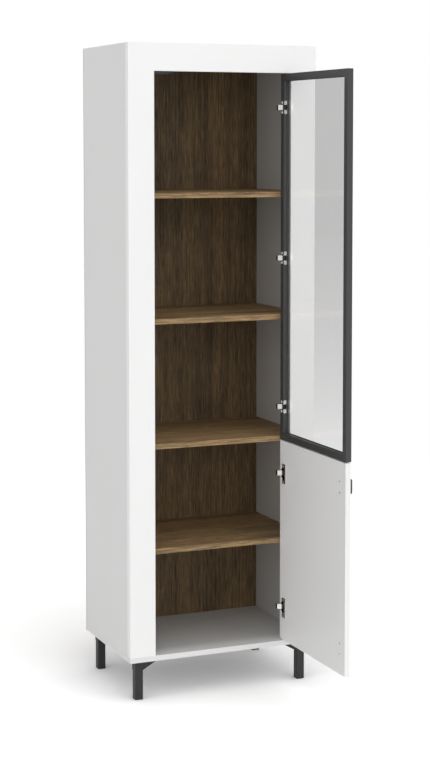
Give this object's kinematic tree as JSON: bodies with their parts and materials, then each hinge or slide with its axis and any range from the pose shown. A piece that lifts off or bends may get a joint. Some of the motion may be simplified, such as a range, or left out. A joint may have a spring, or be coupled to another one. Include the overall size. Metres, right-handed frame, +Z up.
{
  "type": "bookcase with glass door",
  "caption": "Tall free-standing bookcase with a glazed upper door, a solid lower door, shelves and raised metal legs.",
  "frame": {"origin": "on the floor, midway between the sides, in the plane of the cabinet's front face", "axes": "+X to the right as seen from the front, +Y to the back, +Z up"},
  "size_m": [0.6, 0.8127, 1.934],
  "materials": {
    "white_board": "matt white melamine faced board",
    "oak_board": "oak grain decor",
    "beech": "fluted dowel",
    "steel": "zinc plated",
    "nickel": "nickel plated",
    "leg_paint": "fine matt powder coat",
    "handle_paint": "fine matt powder coat",
    "dark_aluminium": "dark grey anodised",
    "tinted_glass": "clear with a light grey tint",
    "gasket_rubber": "soft black",
    "black_plastic": "moulded",
    "grey_plastic": "moulded"
  },
  "bodies": {
    "cabinet": {"side_panel_left": "white_board", "side_panel_right": "white_board", "front_stile_left": "white_board", "front_stile_right": "white_board", "front_top_rail": "white_board", "top_panel": "white_board", "bottom_panel": "white_board", "back_panel": "oak_board", "shelf_lower": "oak_board", "shelf_middle": "oak_board", "shelf_upper": "oak_board", "shelf_top": "oak_board", "shelf_pins": "steel", "frame_dowels": "beech", "carcass_dowels": "beech", "cam_locks": "steel", "cam_bolts": "steel", "base_screws": "steel", "hinge_arm_upper_top": "nickel", "hinge_arm_upper_middle": "nickel", "hinge_arm_upper_bottom": "nickel", "hinge_arm_lower_top": "nickel", "hinge_arm_lower_bottom": "nickel", "hinge_plate_upper_top": "nickel", "hinge_plate_upper_middle": "nickel", "hinge_plate_upper_bottom": "nickel", "hinge_plate_lower_top": "nickel", "hinge_plate_lower_bottom": "nickel", "door_stop": "grey_plastic", "leg_front_left": "leg_paint", "leg_front_right": "leg_paint", "leg_back_left": "leg_paint", "leg_back_right": "leg_paint", "leg_glides": "black_plastic"},
    "upper_door": {"frame_stile_free": "dark_aluminium", "frame_stile_hinge": "dark_aluminium", "frame_rail_top": "dark_aluminium", "frame_rail_bottom": "dark_aluminium", "frame_corner_brackets": "steel", "glass_pane": "tinted_glass", "glazing_gasket": "gasket_rubber", "hinge_cup_upper_top": "nickel", "hinge_cup_upper_middle": "nickel", "hinge_cup_upper_bottom": "nickel", "upper_hinge_pins": "steel"},
    "lower_door": {"lower_door_panel": "white_board", "door_handle": "handle_paint", "handle_screws": "steel", "hinge_cup_lower_top": "nickel", "hinge_cup_lower_bottom": "nickel", "lower_hinge_pins": "steel"}
  },
  "joints": [
    {"name": "upper_door_hinge", "type": "hinge", "parent": "cabinet", "child": "upper_door", "pos_m": [0.203, 0.0073, 1.30075], "axis": [0, 0, 1], "range_deg": [-90, 5]},
    {"name": "lower_door_hinge", "type": "hinge", "parent": "cabinet", "child": "lower_door", "pos_m": [0.203, 0.0073, 0.44175], "axis": [0, 0, 1], "range_deg": [-90, 5]}
  ]
}
